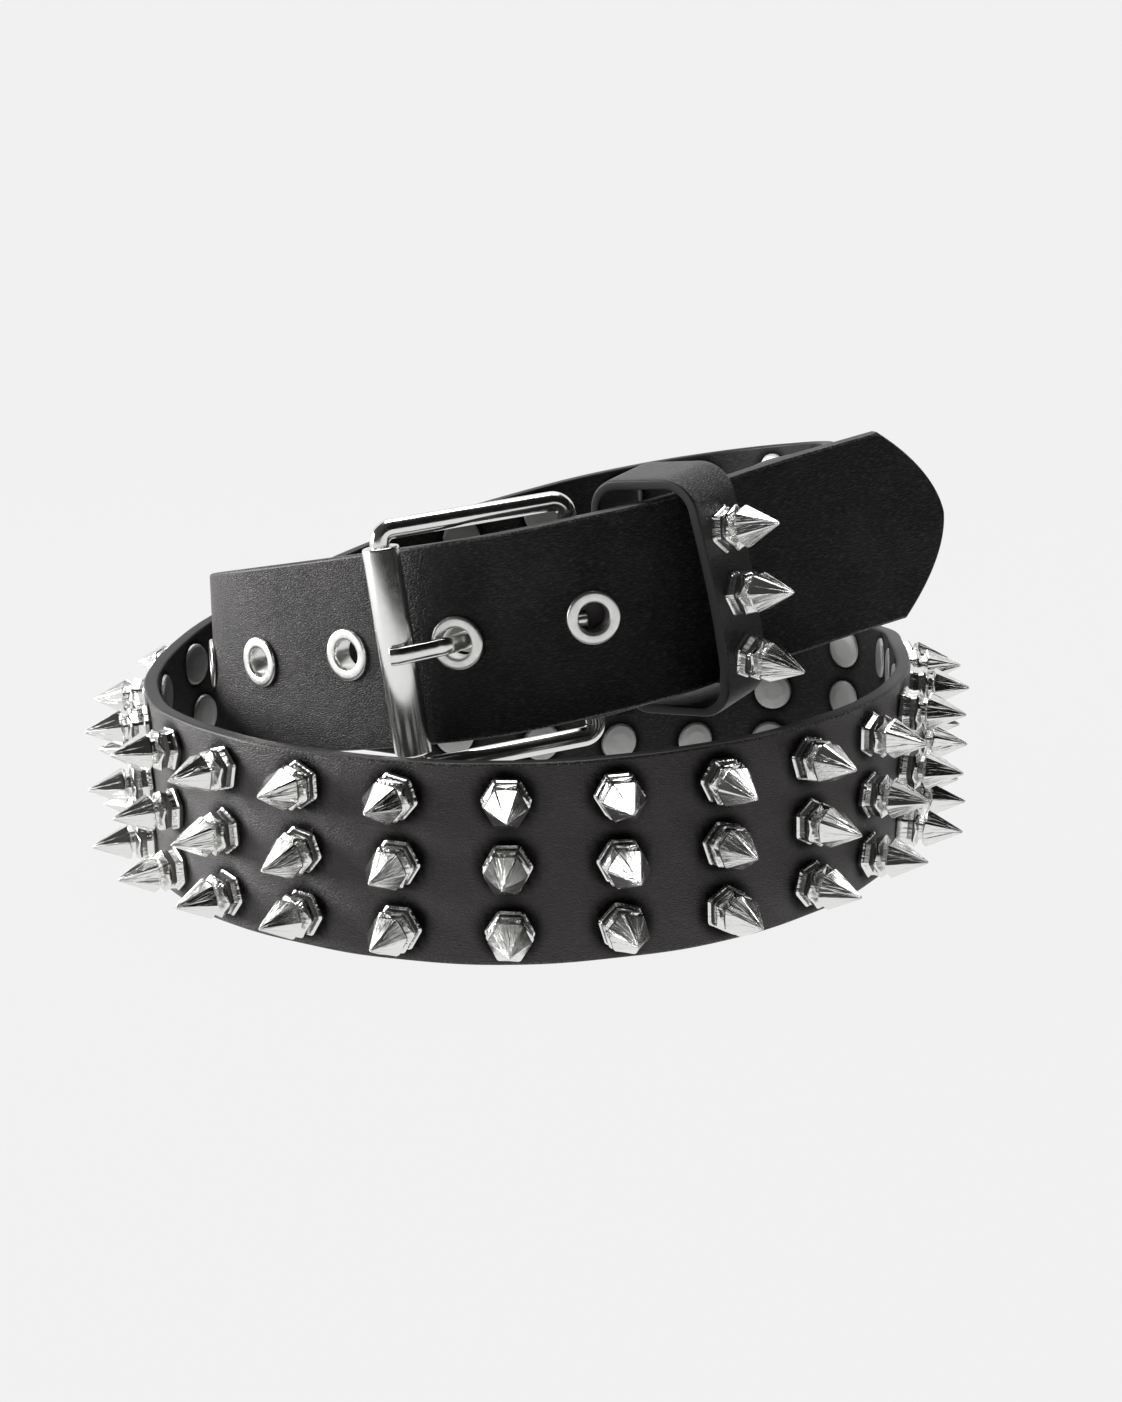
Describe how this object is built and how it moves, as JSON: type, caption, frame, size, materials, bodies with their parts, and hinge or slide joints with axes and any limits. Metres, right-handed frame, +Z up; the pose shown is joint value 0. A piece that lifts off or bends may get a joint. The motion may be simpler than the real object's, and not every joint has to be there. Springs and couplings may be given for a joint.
{
  "type": "studded belt",
  "caption": "Black leather belt with rows of spiked studs, a roller buckle, eyelets and a studded keeper, fastened and stood on its edge in a double coil.",
  "frame": {"origin": "on the surface that the belt stands on, below the middle of its bounding box", "axes": "+Z up, -Y towards the buckle's front, +X towards the belt's tip"},
  "size_m": [0.1918, 0.1718, 0.0915],
  "materials": {
    "black_leather": "fine-grained, satin",
    "chrome": "polished",
    "nickel": "nickel-plated, bright"
  },
  "bodies": {
    "root": {"strap": "black_leather", "buckle_frame": "chrome", "buckle_roller": "chrome", "buckle_prong": "chrome", "eyelet_1": "nickel", "eyelet_2": "nickel", "eyelet_3": "nickel", "eyelet_4": "nickel", "eyelet_5": "nickel", "keeper": "black_leather", "keeper_stud_1": "chrome", "keeper_stud_2": "chrome", "keeper_stud_3": "chrome"}
  },
  "joints": []
}
